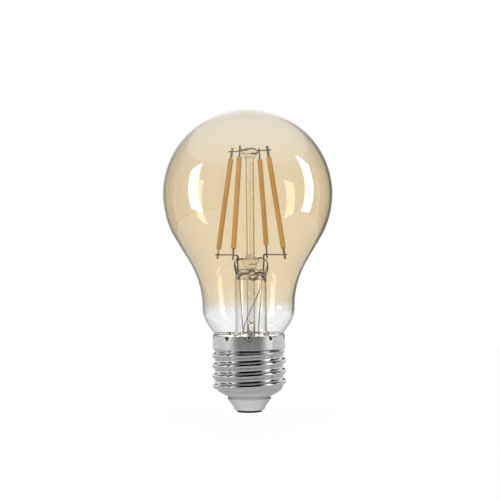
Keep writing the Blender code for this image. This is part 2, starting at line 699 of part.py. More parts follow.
def make_resistor():
    """Fuse resistor: an axial body with its two leads."""
    lead, body, end = 0.3 * MM, 1.25 * MM, 0.3 * MM
    low, high = 10.4 * MM, 16.4 * MM
    profile = [
        (0.0, high + 2.4 * MM), (lead, high + 2.4 * MM), (lead, high), (body - end, high),
        (body, high - end), (body, low + end), (body - end, low), (lead, low),
        (lead, low - 1.3 * MM), (0.0, low - 1.3 * MM),
    ]
    resistor = turned("fusible_resistor", profile, "resistor_body", segments=16)
    resistor.location = (0.9 * MM, -2.6 * MM, 0.0)


def make_mains_wires():
    """Live from the centre contact to the fuse resistor, neutral from the board to the collar."""
    live = [(0.9, -2.6, 8.75), (0.5, -1.5, 8.6), (0.06, -0.3, 8.1), (0.0, 0.0, 7.0), (0.0, 0.0, 1.3)]
    neutral = [(8.6, 0.0, 20.4), (8.7, 0.0, 21.8), (9.7, 0.2, 22.9), (11.0, 0.5, 23.1), (11.9, 0.6, 23.1)]
    wire("live_wire", smooth_route(live), MAINS_WIRE_RADIUS, "wire_red")
    wire("neutral_wire", smooth_route(neutral), MAINS_WIRE_RADIUS, "wire_white")


# ------------------------------------------------------------------------------ assembly


def make_stem_axis():
    """The empty that carries the glass stem and all that is mounted on it."""
    axis = bpy.data.objects.new("stem_axis", None)
    LAMP.objects.link(axis)
    axis.location = (STEM_OFFSET, 0.0, 0.0)
    return axis


def main():
    make_envelope()
    stem = make_stem_axis()
    make_flare(stem)
    make_press(stem)
    make_exhaust_tube(stem)
    make_post(stem)
    for name, quarter, short_foot in FILAMENTS:
        make_filament(name, quarter, short_foot, stem)
    make_top_wires(stem)
    make_leads(stem)
    make_inner_arms(stem)
    make_antenna(stem)
    make_screw_shell()
    make_insulator()
    make_contact()
    make_cement()
    make_sleeve()
    make_boards()
    make_board_link()
    make_capacitor()
    make_inductor()
    make_resistor()
    make_mains_wires()
    bpy.context.view_layer.update()


main()
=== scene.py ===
import json
import math

import bmesh
import bpy
import numpy as np
from mathutils import Matrix, Vector

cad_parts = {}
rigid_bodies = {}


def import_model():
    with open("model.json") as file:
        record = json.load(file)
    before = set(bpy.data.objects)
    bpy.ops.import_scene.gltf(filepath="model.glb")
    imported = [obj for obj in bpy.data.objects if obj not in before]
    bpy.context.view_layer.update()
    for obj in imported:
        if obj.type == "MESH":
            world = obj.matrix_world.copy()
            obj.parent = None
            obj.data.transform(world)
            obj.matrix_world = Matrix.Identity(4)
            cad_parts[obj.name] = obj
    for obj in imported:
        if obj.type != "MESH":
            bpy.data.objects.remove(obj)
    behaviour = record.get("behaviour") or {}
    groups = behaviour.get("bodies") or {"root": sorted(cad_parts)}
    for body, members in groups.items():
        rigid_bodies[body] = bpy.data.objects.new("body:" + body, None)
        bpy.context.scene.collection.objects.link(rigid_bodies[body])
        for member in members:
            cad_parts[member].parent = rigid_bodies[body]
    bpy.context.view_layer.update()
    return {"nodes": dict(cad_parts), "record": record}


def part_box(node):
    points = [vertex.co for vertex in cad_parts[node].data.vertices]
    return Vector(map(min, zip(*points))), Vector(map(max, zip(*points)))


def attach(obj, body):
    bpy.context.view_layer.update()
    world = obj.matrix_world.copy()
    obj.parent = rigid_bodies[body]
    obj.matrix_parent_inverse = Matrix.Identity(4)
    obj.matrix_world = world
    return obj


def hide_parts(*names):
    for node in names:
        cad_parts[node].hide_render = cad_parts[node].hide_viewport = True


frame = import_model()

MM = 0.001

# ------------------------------------------------------------------ sizes, in millimetres
# Glass bulb, the same outline as the CAD solid.
TOP = 107.0
GLOBE_R = 30.0
CONE_ANGLE = 31.0
CONE_DROP = 8.1
SWEEP_R = 32.0
SHOULDER_R = 11.5
SHOULDER_ANGLE = 34.0
SEAL_R = 11.3
SEAL_Z = 24.4
WALL = 0.8
NECK_CLEAR, NECK_TINTED, GLOBE_TINTED = 0.322, 0.43, 0.75  # shares of the height

# Glass stem, about its own axis.
STEM_X = sum(corner.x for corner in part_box("stem_post")) / 2 / MM
FLARE_R, FLARE_WALL = 5.65, 0.65
FLARE_SWEEP_R, FLARE_SWEEP_Z, FLARE_SWEEP_ANGLE = 5.0, 29.8, 65.0
FLARE_RIM_R = 9.35
PRESS_FOOT = 46.9
POST_R, POST_WALL, POST_TOP = 1.5, 0.45, 88.6
EXHAUST_R, EXHAUST_WALL = 1.42, 0.4
EXHAUST_FOOT, EXHAUST_TOP = 25.2, 48.3
BUTTON_R, BUTTON_CROWN = 2.9, 0.9

# Wires. The leads stand apart by one distance under the press and another over it.
WIRE_R, WIRE_GAP = 0.22, 0.1
LEAD_LOW, LEAD_HIGH = 3.95, 4.65

# Filaments: the turn of their ring from +X, then heights and radii.
TURN = -25.0
COAT_TOP, COAT_FOOT = 89.75, 57.5
RING_TOP, RING_FOOT = 7.6, 12.9
STRIP_TOP, STRIP_FOOT = 93.7, 54.1
STRIP_HALF_WIDTH, STRIP_HALF_THICK = 0.5, 0.125
COAT_R, COAT_EDGE = 0.875, 0.32
TOP_WIRE_Z, TOP_WIRE_REACH, TOP_WELD_REACH = 92.3, 8.3, 7.25
ARM_Z, ARM_REACH, ARM_WELD_REACH = 55.65, 14.0, 13.25
WELD_ASIDE = -0.16
# Name, quarter turns from the first, how far the coat stops short at its foot.
FILAMENTS = (
    ("outer_right", 0, 0.5),
    ("inner_right", 1, 1.45),
    ("outer_left", 2, 0.3),
    ("inner_left", 3, 0.35),
)

# E27 cap.
CAP_TOP = 27.4
COLLAR_R, COLLAR_FOOT = 12.95, 22.7
CRIMPS, CRIMP_HALF_WIDTH, CRIMP_SLOPE, CRIMP_DEPTH = 10, 0.95, 0.62, 0.5
SHEET = 0.35
PITCH = 25.4 / 7
CREST_R, ROOT_R = 13.1, 12.05
THREAD_TOP, THREAD_FOOT = 21.45, 9.85
CREST_Z = 10.95  # a crest on the +X side, from which the thread's turns are counted
THREAD_START, THREAD_END = -0.72, 3.12
RUN_IN, RUN_OUT = 0.25, 0.22
BOWL_R, BOWL_ANGLE = 3.2, 60.0
LIP_R = 7.65

# ------------------------------------------------------------------ the studio, in metres
BACKDROP = 1.03  # brightness
WINDOW_REACH = 0.15
FILL_SIZE = 0.2
WING_R, WING_FOOT, WING_TOP, BACK_STRIP_TOP = 0.21, 0.002, 0.22, 0.06
FLOOR_R = 0.45
# Radius and height of the screen round the lamp, from the floor to overhead.
SCREEN = ((0.30, 0.001), (0.30, 0.30), (0.26, 0.42), (0.17, 0.51), (0.06, 0.55), (0.001, 0.555))


# ---------------------------------------------------------------------------- mesh code


class Shape:
    """Gathers closed surfaces, in millimetres, and turns them into one piece."""

    def __init__(self):
        self.points = []
        self.faces = []

    def loft(self, rings, closed=False):
        """Skin rings of points, with flat ends, or as a hoop when closed."""
        rings = np.asarray(rings, float)
        rows, cols = rings.shape[:2]
        start = len(self.points)
        self.points.extend(rings.reshape(-1, 3).tolist())
        for row in range(rows if closed else rows - 1):
            low = start + row * cols
            high = start + (row + 1) % rows * cols
            for col in range(cols):
                after = (col + 1) % cols
                self.faces.append((low + col, low + after, high + after, high + col))
        if not closed:
            self.faces.append(tuple(reversed(range(start, start + cols))))
            last = start + (rows - 1) * cols
            self.faces.append(tuple(range(last, last + cols)))
        return self

    def turned(self, profile, segments=48, closed=False, place=None):
        """Turn (radius, z) points about Z, or about the axis that place puts there."""
        turn = np.arange(segments) * math.tau / segments
        profile = np.asarray(profile, float)
        radii = np.maximum(profile[:, 0], 0.004)[:, None]
        rings = np.stack(
            (radii * np.cos(turn), radii * np.sin(turn), np.repeat(profile[:, 1:2], segments, 1)), 2
        )
        return self.loft(rings if place is None else moved(rings, place), closed)

    def tube(self, route, radius, sides=12):
        """A round bar along route. radius is one number or one for each point."""
        route = np.asarray(route, float)
        radii = np.broadcast_to(radius, len(route))
        ahead = np.gradient(route, axis=0)
        ahead /= np.linalg.norm(ahead, axis=1)[:, None]
        side = np.cross(ahead[0], (0.31, 0.87, 0.38))
        turn = np.arange(sides) * math.tau / sides
        rings = []
        for place, way, size in zip(route, ahead, radii):
            side = side - way * (side @ way)
            side /= np.linalg.norm(side)
            other = np.cross(way, side)
            rings.append(place + size * (np.outer(np.cos(turn), side) + np.outer(np.sin(turn), other)))
        return self.loft(rings)

    def bead(self, centre, size, sides=16):
        """A blob of weld or glass: half-widths in x, y and z."""
        turn = np.arange(sides) * math.tau / sides
        rings = []
        for step in range(9):
            tilt = math.pi * (0.03 + 0.94 * step / 8) - math.pi / 2
            across = math.cos(tilt)
            rings.append(np.stack((size[0] * across * np.cos(turn), size[1] * across * np.sin(turn),
                                   np.full(sides, size[2] * math.sin(tilt))), 1))
        return self.loft(np.array(rings) + np.asarray(centre, float))

    def slab(self, sections, place):
        """A rounded bar with a rectangular section: (z, half-width, half-thickness) in turn."""
        rings = []
        for z, wide, thick in sections:
            edge = min(wide, thick) * 0.35
            corner = [(wide - edge, thick), (wide, thick - edge)]
            ring = corner[::-1] + [(-x, y) for x, y in corner]
            ring += [(-x, -y) for x, y in corner[::-1]] + [(x, -y) for x, y in corner]
            rings.append([(x, y, z) for x, y in ring])
        return self.loft(moved(np.array(rings), place))

    def piece(self, name, look, slot, replaces, smooth_below=38.0):
        """Make the object, on the lamp's one body, in place of the CAD nodes it replaces."""
        mesh = bpy.data.meshes.new(name)
        mesh.from_pydata((np.array(self.points) * MM).tolist(), [], self.faces)
        outward = bmesh.new()
        outward.from_mesh(mesh)
        bmesh.ops.recalc_face_normals(outward, faces=outward.faces)
        outward.to_mesh(mesh)
        outward.free()
        mesh.shade_smooth()
        mesh.set_sharp_from_angle(angle=math.radians(smooth_below))
        mesh.materials.append(look)
        piece = bpy.data.objects.new(name, mesh)
        bpy.context.scene.collection.objects.link(piece)
        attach(piece, "root")
        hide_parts(*replaces)


def moved(points, place):
    """Points under a 4x4 matrix."""
    matrix = np.array(place)
    return points @ matrix[:3, :3].T + matrix[:3, 3]


def arc(centre_r, centre_z, radius, start, end, steps):
    """Points (radius, z) on an arc from one angle to another, in degrees."""
    turn = np.radians(np.linspace(start, end, steps + 1))
    return [(centre_r + radius * math.cos(a), centre_z + radius * math.sin(a)) for a in turn]


def along(points, spacing):
    """Points every spacing along a broken line, its corners kept."""
    out = [points[0]]
    for start, end in zip(points, points[1:]):
        steps = max(1, round(math.dist(start, end) / spacing))
        for step in range(1, steps + 1):
            share = step / steps
            out.append(tuple(a + (b - a) * share for a, b in zip(start, end)))
    return out


def smooth_route(points, per_span=6):
    """Catmull-Rom curve through points."""
    places = [Vector(point) for point in points]
    ends = [places[0] * 2 - places[1], *places, places[-1] * 2 - places[-2]]
    route = []
    for before, start, end, after in zip(ends, ends[1:], ends[2:], ends[3:]):
        for step in range(per_span):
            t = step / per_span
            bend_in = (end - before) / 2 - (end - start)
            bend_out = (after - start) / 2 - (end - start)
            curve = bend_in * t * (1 - t) ** 2 - bend_out * t**2 * (1 - t)
            route.append(tuple(start + (end - start) * t + curve))
    route.append(tuple(places[-1]))
    return route


def thinned_inside(profile, wall):
    """The same outline moved inwards by a wall, running back the other way."""
    line = np.array(profile, float)
    way = np.gradient(line, axis=0)
    way /= np.linalg.norm(way, axis=1)[:, None]
    inner = line + wall * np.stack((way[:, 1], -way[:, 0]), 1)
    inner[:, 0] = np.maximum(inner[:, 0], 0.0)
    return inner[::-1]


STEM = Matrix.Translation((STEM_X, 0.0, 0.0))


def on_stem(route):
    """A route given about the stem's axis, in the lamp's own frame."""
    return [(x + STEM_X, y, z) for x, y, z in route]


# ------------------------------------------------------------------------ material code


class Graph:
    """A node tree with short calls for the nodes used here."""

    def __init__(self, tree):
        self.tree = tree

    def node(self, kind, feeds=(), **settings):
        node = self.tree.nodes.new(kind)
        for key, value in settings.items():
            setattr(node, key, value)
        for socket, value in feeds:
            self.feed(node.inputs[socket], value)
        return node

    def feed(self, socket, value):
        if isinstance(value, bpy.types.NodeSocket):
            self.tree.links.new(value, socket)
        elif socket.type == "RGBA" and len(value) == 3:
            socket.default_value = (*value, 1.0)
        else:
            socket.default_value = value

    def sums(self, operation, a, b=0.0, c=0.0):
        return self.node("ShaderNodeMath", ((0, a), (1, b), (2, c)), operation=operation).outputs[0]

    def axes(self, vector=None):
        return self.node("ShaderNodeSeparateXYZ", ((0, vector or self.places),)).outputs

    def noise(self, size_mm, detail=3.0, rough=0.55, vector=None):
        """Noise with features of about that size."""
        feeds = (("Vector", vector or self.places), ("Scale", 1 / (size_mm * MM)),
                 ("Detail", detail), ("Roughness", rough))
        return self.node("ShaderNodeTexNoise", feeds).outputs["Fac"]

    def blend(self, share, a, b):
        """The number a where share is 0 and b where it is 1."""
        return self.sums("MULTIPLY_ADD", share, self.sums("SUBTRACT", b, a), a)

    def ranged(self, value, low, high, to_low=0.0, to_high=1.0, smooth=True):
        """A value's place between low and high, eased, as a place between two others."""
        kind = "SMOOTHSTEP" if smooth else "LINEAR"
        feeds = (("Value", value), ("From Min", low), ("From Max", high),
                 ("To Min", to_low), ("To Max", to_high))
        return self.node("ShaderNodeMapRange", feeds, interpolation_type=kind).outputs["Result"]

    def mix(self, share, a, b):
        """The colour a where share is 0 and b where it is 1."""
        node = self.node("ShaderNodeMix", (), data_type="RGBA")
        for socket, value in ((0, share), (6, a), (7, b)):
            self.feed(node.inputs[socket], value)
        return node.outputs[2]

    def ramp(self, share, stops):
        """Colours at shares of the way: (place, colour) in turn."""
        node = self.node("ShaderNodeValToRGB", ((0, share),))
        band = node.color_ramp
        band.interpolation = "EASE"
        while len(band.elements) < len(stops):
            band.elements.new(0.5)
        for element, (place, colour) in zip(band.elements, stops):
            element.position = place
            element.color = (*colour, 1.0)
        return node.outputs["Color"]

    def bump(self, height, depth_mm):
        feeds = (("Height", height), ("Distance", depth_mm * MM), ("Strength", 1.0))
        return self.node("ShaderNodeBump", feeds).outputs["Normal"]

    def seen_plainly(self):
        """1 where a thing is looked at directly or through glass, 0 where it is reflected."""
        path = self.node("ShaderNodeLightPath").outputs
        straight = self.sums("LESS_THAN", path["Glossy Depth"], 0.5)
        through = self.sums("MULTIPLY", path["Is Transmission Ray"], straight)
        return self.sums("MAXIMUM", through, path["Is Camera Ray"])


# Radius at which marks that run round a piece have their true length, in millimetres.
ROUND_MARKS_R = 13.0


class Look(Graph):
    """One material. Keywords are constants for the shader's sockets."""

    def __init__(self, name, **plain):
        self.material = bpy.data.materials.new(name)
        self.material.use_nodes = True
        super().__init__(self.material.node_tree)
        self.shader = self.tree.nodes["Principled BSDF"]
        self.output = self.tree.nodes["Material Output"]
        self.places = self.node("ShaderNodeTexCoord").outputs["Object"]
        for socket, value in plain.items():
            self.shader.inputs[socket.replace("_", " ")].default_value = value

    def round_axis(self, along_scale=1.0):
        """Angle about Z as an arc length and height, for marks that run round a turned piece."""
        x, y, z = self.axes()
        angle = self.sums("ARCTAN2", y, x)
        length = self.sums("MULTIPLY", angle, ROUND_MARKS_R * MM * along_scale)
        return self.node("ShaderNodeCombineXYZ", ((0, length), (2, z))).outputs[0]

    def set(self, **links):
        for socket, value in links.items():
            self.feed(self.shader.inputs[socket.replace("_", " ")], value)


STREAK_TINT = (0.80, 0.74, 0.66)
# Near-black colour mixed into glass where it is seen edge-on: painted shade at the rims.
PAINTED_EDGE_SHADE = (0.03, 0.026, 0.022)


def glass_look(name, tint, rim, rim_from=0.72, rim_to=0.97, wave=0.004, gloss=0.5):
    """Clear glass with faint streaks, with painted shade: its colour goes dark by rim where it is seen
    edge-on.

    Shadow rays pass straight through it, so that the lamps light what is inside.
    """
    look = Look(name, Transmission_Weight=1.0, IOR=1.5, Roughness=0.0, Specular_IOR_Level=gloss)
    colour = tint(look) if callable(tint) else tint
    streaks = look.noise(9.0, 2.0, 0.4)
    colour = look.mix(look.ranged(streaks, 0.3, 0.7, 0.0, 0.02), colour, STREAK_TINT)
    # Painted shade: the base colour darkens towards near black where the surface is seen edge-on, in place
    # of dark surroundings seen at the rims.
    edge = look.node("ShaderNodeLayerWeight", ((0, 0.5),)).outputs["Facing"]
    share = look.ranged(edge, rim_from, rim_to, 0.0, rim)
    colour_with_painted_rim = look.mix(share, colour, PAINTED_EDGE_SHADE)
    look.set(Base_Color=colour_with_painted_rim, Normal=look.bump(look.noise(6.0, 2.0, 0.5), wave))
    lamp_tint = look.node("ShaderNodeGamma", (("Color", colour), ("Gamma", 0.5))).outputs[0]
    through = look.node("ShaderNodeBsdfTransparent", (("Color", lamp_tint),)).outputs[0]
    lamp = look.node("ShaderNodeLightPath").outputs["Is Shadow Ray"]
    mixer = look.node("ShaderNodeMixShader", ((0, lamp),))
    look.tree.links.new(look.shader.outputs[0], mixer.inputs[1])
    look.tree.links.new(through, mixer.inputs[2])
    look.tree.links.new(mixer.outputs[0], look.output.inputs["Surface"])
    return look.material


def plain_look(name, colour, roughness, grain=0.6, vary=0.15, bump=0.02):
    """Solid stuff with mottled colour, uneven gloss and a fine grain."""
    look = Look(name)
    broad = look.noise(grain * 6, 4.0)
    fine = look.noise(grain, 5.0, 0.65)
    dark = tuple(c * (1 - vary) for c in colour)
    light = tuple(min(1.0, c * (1 + vary * 0.6)) for c in colour)
    tone = look.mix(broad, dark, light)
    tone = look.mix(look.ranged(fine, 0.35, 0.65, 0.0, 0.35), tone, dark)
    look.set(
        Base_Color=tone,
        Roughness=look.ranged(fine, 0.25, 0.75, roughness - 0.08, roughness + 0.08),
        Normal=look.bump(fine, bump),
    )
    return look.material


def metal_look(name, colour, roughness, drawn=0.25):
    """Drawn or rolled metal with fine lines and a few dull spots."""
    look = Look(name, Metallic=1.0)
    fine = look.noise(drawn, 4.0, 0.7)
    broad = look.noise(3.0, 3.0)
    dark = tuple(c * 0.62 for c in colour)
    tone = look.mix(look.ranged(broad, 0.35, 0.7), colour, dark)
    tone = look.mix(look.ranged(fine, 0.55, 0.8, 0.0, 0.5), tone, dark)
    look.set(Base_Color=tone, Roughness=look.ranged(fine, 0.3, 0.7, roughness - 0.08, roughness + 0.12),
             Normal=look.bump(fine, 0.012))
    return look.material


AMBER = (0.905, 0.815, 0.655)
PALE_AMBER = (0.905, 0.835, 0.70)
DOME_AMBER = (0.915, 0.865, 0.775)
CLEAR = (0.965, 0.967, 0.975)


def amber_fade(look):
    """Amber by height: a little paler at the dome, gone below the neck."""
    height = look.axes()[2]
    wander = look.noise(5.0, 2.0, 0.5, vector=look.round_axis())
    height = look.sums("ADD", height, look.sums("MULTIPLY", look.sums("SUBTRACT", wander, 0.5), 0.0025))
    share = look.ranged(height, 0.0, TOP * MM, smooth=False)
    return look.ramp(share, (
        (NECK_CLEAR, CLEAR),
        (0.38, PALE_AMBER),
        (NECK_TINTED, AMBER),
        (GLOBE_TINTED, AMBER),
        (0.97, DOME_AMBER),
    ))


# ------------------------------------------------------------------------------ pieces


def bulb_outline():
    """Outer side of the bulb from the dome's pole to the seal."""
    slope = math.radians(CONE_ANGLE)
    centre = TOP - GLOBE_R
    globe = arc(0.0, centre, GLOBE_R, 90.0, -CONE_ANGLE, 128)
    cone_r = globe[-1][0] - CONE_DROP * math.tan(slope)
    cone_z = globe[-1][1] - CONE_DROP
    neck_r = cone_r - SWEEP_R * (1 - math.cos(slope))
    neck_z = cone_z - SWEEP_R * math.sin(slope)
    sweep = arc(neck_r + SWEEP_R, neck_z, SWEEP_R, 180.0 - CONE_ANGLE, 180.0, 32)
    shoulder = arc(neck_r - SHOULDER_R, neck_z, SHOULDER_R, 0.0, -SHOULDER_ANGLE, 16)
    fall = (shoulder[-1][0] - SEAL_R) / math.tan(math.radians(SHOULDER_ANGLE))
    seal = [(SEAL_R, shoulder[-1][1] - fall), (SEAL_R, SEAL_Z)]
    cone = along([globe[-1], sweep[0]], 0.5)[1:-1]
    foot = along([shoulder[-1], *seal], 0.4)[1:]
    return [*globe, *cone, *sweep, *shoulder[1:], *foot]


def build_bulb():
    outer = bulb_outline()
    shape = Shape().turned([*outer, *thinned_inside(outer, WALL)], 160, closed=True)
    # The rim numbers set the painted shade where the bulb is seen edge-on.
    look = glass_look("amber_glass", amber_fade, rim=0.6, rim_from=0.86, rim_to=0.99)
    shape.piece("bulb_glass", look, "amber_glass", ["glass_envelope"], smooth_below=60)


def build_flare(look):
    """Straight tube whose foot opens out to the seal."""
    sweep = arc(FLARE_R + FLARE_SWEEP_R, FLARE_SWEEP_Z, FLARE_SWEEP_R, 180.0, 180.0 + FLARE_SWEEP_ANGLE, 16)
    fall = (FLARE_RIM_R - sweep[-1][0]) / math.tan(math.radians(FLARE_SWEEP_ANGLE))
    rim = (FLARE_RIM_R, sweep[-1][1] - fall)
    tube = along([(FLARE_R, PRESS_FOOT - 0.02), sweep[0]], 1.0)
    outer = [*tube, *sweep[1:], *along([sweep[-1], rim], 0.4)[1:]]
    flare = Shape().turned([*outer, *thinned_inside(outer, FLARE_WALL)], 96, closed=True, place=STEM)
    flare.piece("flare_glass", look, "clear_glass", ["stem_flare"], smooth_below=60)


def build_exhaust(look):
    """Thin tube under the press, melted shut to a round tip."""
    tip = arc(0.0, 24.9, EXHAUST_R, -90.0, 0.0, 8)
    bore = EXHAUST_R - EXHAUST_WALL
    outer = [*tip, *along([(EXHAUST_R, EXHAUST_FOOT), (EXHAUST_R, EXHAUST_TOP)], 1.5)]
    inner = [(bore, EXHAUST_TOP), (bore, EXHAUST_FOOT), (0.5, 24.5), (0.0, 24.3)]
    shape = Shape().turned([*outer, *inner], 32, place=STEM)
    shape.piece("exhaust_glass", look, "clear_glass", ["exhaust_tube"], smooth_below=50)


def build_post(look):
    """Hollow post that widens a little where it was melted to the press."""
    outer = [(POST_R + 0.9, 54.0), (POST_R + 0.35, 54.5), (POST_R + 0.05, 55.4),
             *along([(POST_R, 56.5), (POST_R, POST_TOP)], 2.0)]
    inner = [(POST_R - POST_WALL, POST_TOP), (POST_R - POST_WALL, 55.6), (0.0, 55.0)]
    shape = Shape().turned([(0.0, 53.9), *outer, *inner], 32, place=STEM)
    shape.piece("post_glass", look, "amber_tinted_post", ["stem_post"], smooth_below=50)


def build_button(look):
    """Solid head of the post, with a round crown and a waist."""
    crown = arc(BUTTON_R - BUTTON_CROWN, 91.7, BUTTON_CROWN, 90.0, -60.0, 10)
    waist = [(2.1, 90.2), (1.65, 89.5), (POST_R + 0.05, 88.75), (0.0, 88.65)]
    shape = Shape().turned([(0.0, 92.75), (1.0, 92.72), *crown, *waist], 48, place=STEM)
    shape.piece("button_glass", look, "amber_tinted_post", ["post_button"], smooth_below=50)


def press_ring(height, wide, deep, squareness, count=72):
    """A level ring between an ellipse, at squareness 2, and a rectangle."""
    turn = np.arange(count) * math.tau / count
    across, into = np.cos(turn), np.sin(turn)
    reach = (np.abs(across) ** squareness + np.abs(into) ** squareness) ** (-1 / squareness)
    return np.stack((wide * reach * across, deep * reach * into, np.full(count, height)), 1)


def build_press(look):
    """Tube squeezed flat, hollow below.

    Each level is (height, half-width, half-depth, squareness), up the outside and down the inside.
    """
    outside = (
        (PRESS_FOOT, FLARE_R, FLARE_R, 2.0), (47.6, 5.5, 5.3, 2.0), (48.3, 5.38, 4.6, 2.15),
        (49.0, 5.34, 3.6, 2.35), (49.7, 5.45, 2.8, 2.6), (50.4, 5.62, 2.25, 2.8), (51.4, 5.82, 1.95, 3.0),
        (52.6, 5.92, 1.85, 3.0), (53.4, 5.86, 1.8, 3.0), (54.0, 5.6, 1.55, 2.8), (54.35, 4.9, 1.1, 2.5),
        (54.5, 3.4, 0.6, 2.2),
    )
    inside = (
        (49.6, 1.2, 0.5, 2.0), (49.45, 3.2, 1.2, 2.2), (48.9, 4.1, 2.3, 2.2), (48.0, 4.45, 3.8, 2.1),
        (47.4, 4.75, 4.6, 2.0), (PRESS_FOOT, 5.0, 5.0, 2.0),
    )
    rings = np.array([press_ring(*level) for level in (*outside, *inside)])
    # The squeezed glass wavers a little along its lower folds.
    height = rings[:, :, 2]
    swing = 0.28 * np.sin(rings[:, :, 0] * 1.9 + 0.6) * np.clip((height - 47.4) / 1.0, 0, 1)
    swing *= np.clip((51.6 - height) / 1.2, 0, 1)
    rings[:, :, 2] += swing
    shape = Shape().loft(moved(rings, STEM), closed=True)
    shape.piece("press_glass", look, "clear_glass", ["stem_press"], smooth_below=60)


def build_folds(look):
    """Creases left where the tongs pinched the glass, and the rim of the blow hole, in near-black glass:
    painted shade along the creases.

    Each is its greatest radius and a route about the stem's axis.
    """
    left_creases = (
        (0.36, ((-4.35, -3.9, 47.7), (-3.6, -4.0, 48.5), (-2.6, -3.8, 48.95), (-1.5, -3.7, 49.05),
                (-0.7, -3.7, 49.2))),
        (0.504, ((-5.55, -0.5, 53.2), (-5.55, -0.9, 51.9), (-5.3, -1.2, 50.7), (-4.95, -1.4, 49.2),
                 (-4.8, -1.6, 48.0))),
        (0.24, ((-4.4, -1.0, 55.1), (-4.2, -1.1, 54.6), (-4.6, -1.1, 53.8), (-5.2, -0.9, 53.3))),
        (0.264, ((-4.3, -1.2, 53.7), (-3.5, -1.3, 54.2), (-2.3, -1.3, 54.45))),
    )
    blow_hole = (
        (0.312, ((-1.3, -3.75, 48.9), (-0.4, -3.6, 49.85), (0.45, -3.5, 50.3), (1.2, -3.5, 49.95),
                 (1.6, -3.6, 49.5))),
        (0.36, ((-0.9, -3.85, 48.7), (0.3, -3.9, 48.45), (1.3, -3.8, 48.7), (2.4, -3.7, 49.4),
                (3.6, -3.5, 49.4), (4.8, -3.3, 48.9), (5.5, -3.0, 48.0))),
        (0.408, ((-0.8, -4.0, 48.0), (0.1, -4.2, 47.2), (1.0, -4.3, 46.95), (2.0, -4.2, 47.6),
                 (2.7, -4.0, 48.6))),
        (0.156, ((-0.7, -2.1, 52.3), (0.6, -2.1, 52.5), (1.9, -2.1, 52.1))),
        (0.18, ((1.7, -2.1, 52.3), (2.2, -2.1, 53.1))),
    )
    right_creases = (
        (0.264, ((2.9, -3.9, 48.7), (3.9, -3.8, 48.2), (4.9, -3.4, 47.5))),
        (0.24, ((2.2, -1.3, 54.5), (3.6, -1.3, 54.6), (4.6, -1.3, 54.2))),
        (0.204, ((4.65, -1.9, 54.1), (4.6, -2.0, 52.0), (4.7, -2.4, 49.6))),
        (0.288, ((5.2, -0.9, 53.9), (5.85, -0.6, 53.0), (6.0, -0.4, 51.6), (5.85, -0.5, 50.0),
                 (5.5, -0.9, 48.6))),
        (0.456, ((4.6, -2.2, 48.0), (4.9, -2.4, 47.2), (4.95, -2.3, 46.4), (5.2, -2.0, 45.6))),
    )
    folds = Shape()
    for thickness, route in (*left_creases, *blow_hole, *right_creases):
        path = smooth_route(on_stem(route), 6)
        share = np.linspace(0, 1, len(path))
        folds.tube(path, thickness * (0.45 + 0.55 * np.sin(share * math.pi)), 10)
    folds.piece("press_folds", look, "clear_glass", ["stem_press"], smooth_below=80)


def build_stem():
    # rim, rim_from and rim_to set how much shade is painted where each glass is seen edge-on.
    clear = glass_look("stem_clear_glass", (0.975, 0.97, 0.955), 0.7, 0.72, 0.98, gloss=0.15)
    thick = glass_look("press_glass", (0.95, 0.925, 0.88), 0.85, 0.55, 0.95, wave=0.02, gloss=0.15)
    # Near-black glass for the creases, so that they read as dark lines: painted shade.
    fold = glass_look("fold_glass_painted_dark", (0.11, 0.09, 0.07), 0.9, 0.1, 0.7, gloss=0.15)
    post = glass_look("post_clear_glass", (0.965, 0.94, 0.89), 0.9, 0.62, 0.95, gloss=0.15)
    build_flare(clear)
    build_press(thick)
    build_folds(fold)
    build_exhaust(clear)
    build_post(post)
    build_button(post)


def filament_angle(quarter):
    return math.radians(TURN + 90.0 * quarter)


def on_ring(angle, radius, height, aside=0.0):
    """A point at an angle and radius about the stem, moved aside along the ring."""
    across = Vector((math.cos(angle), math.sin(angle), 0.0)) * radius
    beside = Vector((-math.sin(angle), math.cos(angle), 0.0)) * aside
    return across + beside + Vector((STEM_X, 0.0, height))


def filament_place(quarter, low_z, high_z):
    """Length between two heights of a filament and the matrix that lays local Z along it."""
    aside = -(STRIP_HALF_THICK + WIRE_R + WIRE_GAP)
    angle = filament_angle(quarter)
    ends = []
    for z in (low_z, high_z):
        ring = RING_TOP + (RING_FOOT - RING_TOP) * (COAT_TOP - z) / (COAT_TOP - COAT_FOOT)
        ends.append(on_ring(angle, ring, z, aside))
    low, high = ends
    up = (high - low).normalized()
    thin = Vector((-math.sin(angle), math.cos(angle), 0.0))
    turn = Matrix((thin.cross(up), thin, up)).transposed().to_4x4()
    return (high - low).length, Matrix.Translation((low + high) / 2) @ turn


def coat_look():
    """Matt orange silicone with fine grains."""
    look = Look("phosphor_coat", Specular_IOR_Level=0.15)
    grain = look.noise(0.22, 4.0, 0.7)
    broad = look.noise(2.4, 3.0)
    tone = look.mix(broad, (0.56, 0.33, 0.10), (0.66, 0.42, 0.14))
    tone = look.mix(look.ranged(grain, 0.45, 0.75, 0.0, 0.5), tone, (0.80, 0.47, 0.16))
    look.set(Base_Color=tone, Roughness=look.ranged(grain, 0.3, 0.7, 0.6, 0.8),
             Normal=look.bump(grain, 0.03))
    return look.material


def build_coat(look, name, quarter, short):
    """Round phosphor coat with blunt ends and a faint ripple, its foot a little short."""
    length, place = filament_place(quarter, COAT_FOOT + short, COAT_TOP)
    half = length / 2
    profile = [(0.0, half), (0.35, half - 0.01)]
    profile += arc(COAT_R - COAT_EDGE, half - COAT_EDGE, COAT_EDGE, 80.0, 0.0, 5)
    profile += [
        (COAT_R + 0.012 * math.sin(4.1 * t + quarter) + 0.01 * math.sin(11.0 * t), half - t)
        for t in np.arange(0.7, length - 0.7, 0.45)
    ]
    profile += arc(COAT_R - COAT_EDGE, -half + COAT_EDGE, COAT_EDGE, 0.0, -80.0, 5)
    profile += [(0.35, -half + 0.01), (0.0, -half)]
    shape = Shape().turned(profile, 28, place=place)
    shape.piece(f"coat_{name}", look, "phosphor", [f"filament_coat_{name}"])


